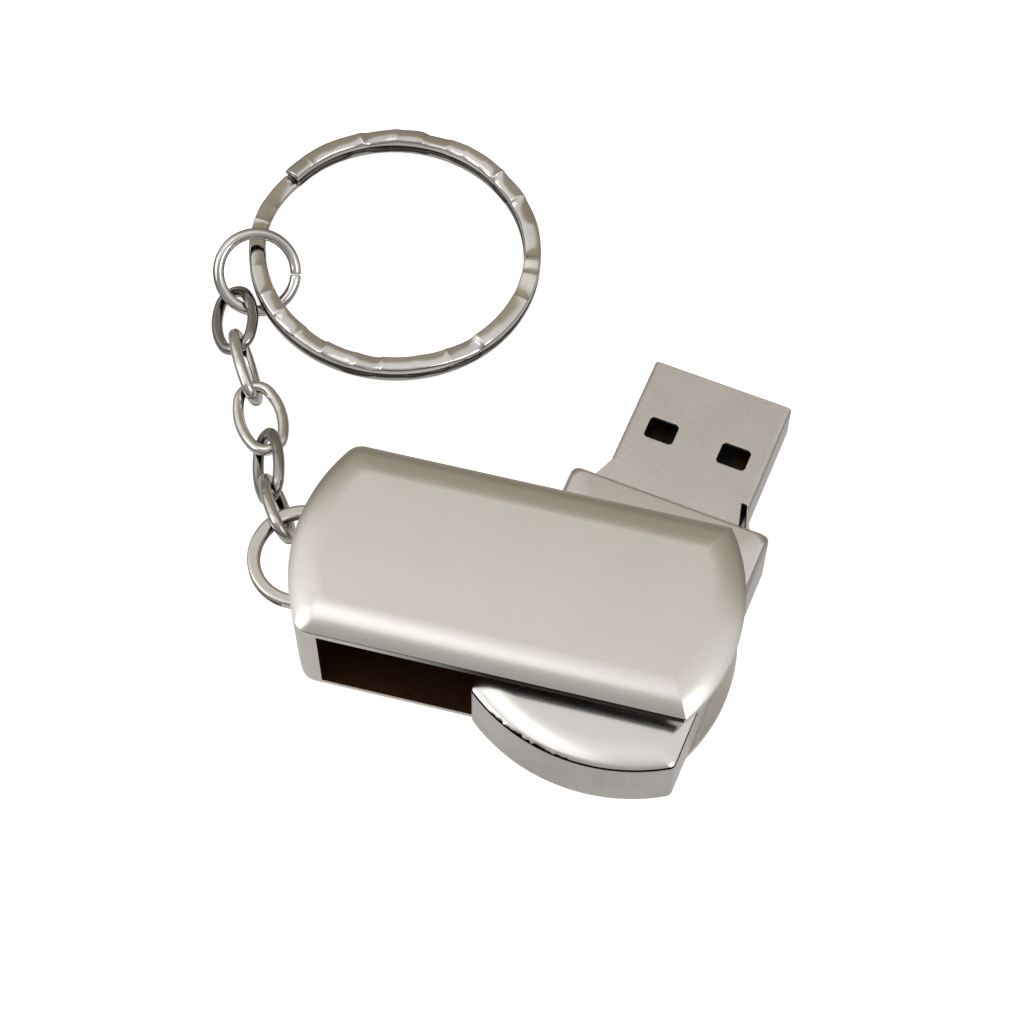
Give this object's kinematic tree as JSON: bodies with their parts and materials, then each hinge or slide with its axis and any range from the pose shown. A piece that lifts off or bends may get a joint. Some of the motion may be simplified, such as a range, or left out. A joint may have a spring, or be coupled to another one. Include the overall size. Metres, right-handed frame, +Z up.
{
  "type": "usb flash drive",
  "caption": "Swivel flash drive: a flat drive body turns inside a rounded metal cover that has an eye, a short oval-link chain, a jump ring and a split key ring.",
  "frame": {"origin": "on the swivel axis at the cover's bottom face, which is the face that lies on the table", "axes": "+Z up along the swivel axis, +X along the cover's length from the eye to the open end, +Y to the side where the plug and the key ring lie at rest"},
  "size_m": [0.0522, 0.0585, 0.0111],
  "materials": {
    "satin_nickel": "satin nickel plate over a cast zinc body",
    "brushed_plate": "fine brushed, satin nickel",
    "steel": "turned, uncoated",
    "nylon": "matt black nylon",
    "polished_lid": "polished with a crowned rear bevel",
    "satin_body": "satin grey plate",
    "plug_steel": "matt nickel plate",
    "black_insulator": "moulded black",
    "contact_plating": "gold flash",
    "board": "green solder mask",
    "chip_resin": "moulded epoxy",
    "can_steel": "drawn can",
    "ceramic_chip": "fired, tinned ends",
    "chain_chrome": "bright nickel wire",
    "ring_chrome": "bright nickel, slightly uneven flats"
  },
  "bodies": {
    "cover": {"cover_frame": "satin_nickel", "top_cap_plate": "brushed_plate", "upper_pivot_rivet": "steel", "lower_pivot_rivet": "steel", "upper_friction_washer": "nylon", "lower_friction_washer": "nylon"},
    "drive": {"body_lid": "polished_lid", "body_tray": "satin_body", "plug_shell": "plug_steel", "plug_insulator": "black_insulator", "plug_contacts": "contact_plating", "circuit_board": "board", "flash_memory_chip": "chip_resin", "controller_chip": "chip_resin", "crystal": "can_steel", "capacitors": "ceramic_chip", "resistors": "chip_resin"},
    "link_1": {"chain_link_1": "chain_chrome"},
    "link_2": {"chain_link_2": "chain_chrome"},
    "link_3": {"chain_link_3": "chain_chrome"},
    "link_4": {"chain_link_4": "chain_chrome"},
    "link_5": {"chain_link_5": "chain_chrome"},
    "jump_ring": {"jump_ring": "chain_chrome"},
    "split_ring": {"split_ring": "ring_chrome"}
  },
  "joints": [
    {"name": "drive_swivel", "type": "hinge", "parent": "cover", "child": "drive", "pos_m": [0, 0, 0.0052], "axis": [0, 0, 1], "continuous": true},
    {"name": "eye_swing", "type": "hinge", "parent": "cover", "child": "link_1", "pos_m": [-0.02834, 0.00146, 0.00551], "axis": [0, 0, 1], "range_deg": [-15, 15]},
    {"name": "link_1_swing", "type": "hinge", "parent": "link_1", "child": "link_2", "pos_m": [-0.03128, 0.00684, 0.00325], "axis": [0, 0, -1], "range_deg": [-10, 10]},
    {"name": "link_2_swing", "type": "hinge", "parent": "link_2", "child": "link_3", "pos_m": [-0.03322, 0.01138, 0.00237], "axis": [0, 0, 1], "range_deg": [-10, 14]},
    {"name": "link_3_swing", "type": "hinge", "parent": "link_3", "child": "link_4", "pos_m": [-0.0352, 0.01479, 0.00231], "axis": [0, 0, -1], "range_deg": [-15, 15]},
    {"name": "link_4_swing", "type": "hinge", "parent": "link_4", "child": "link_5", "pos_m": [-0.0384, 0.02049, 0.00213], "axis": [0, 0, 1], "range_deg": [-15, 15]},
    {"name": "jump_ring_turn", "type": "hinge", "parent": "link_5", "child": "jump_ring", "pos_m": [-0.03859, 0.02704, 0.0023], "axis": [0, 0, 1], "range_deg": [-3, 12]},
    {"name": "split_ring_swing", "type": "hinge", "parent": "jump_ring", "child": "split_ring", "pos_m": [-0.03859, 0.02704, 0.0023], "axis": [0, 0, 1], "range_deg": [-3, 12]}
  ]
}
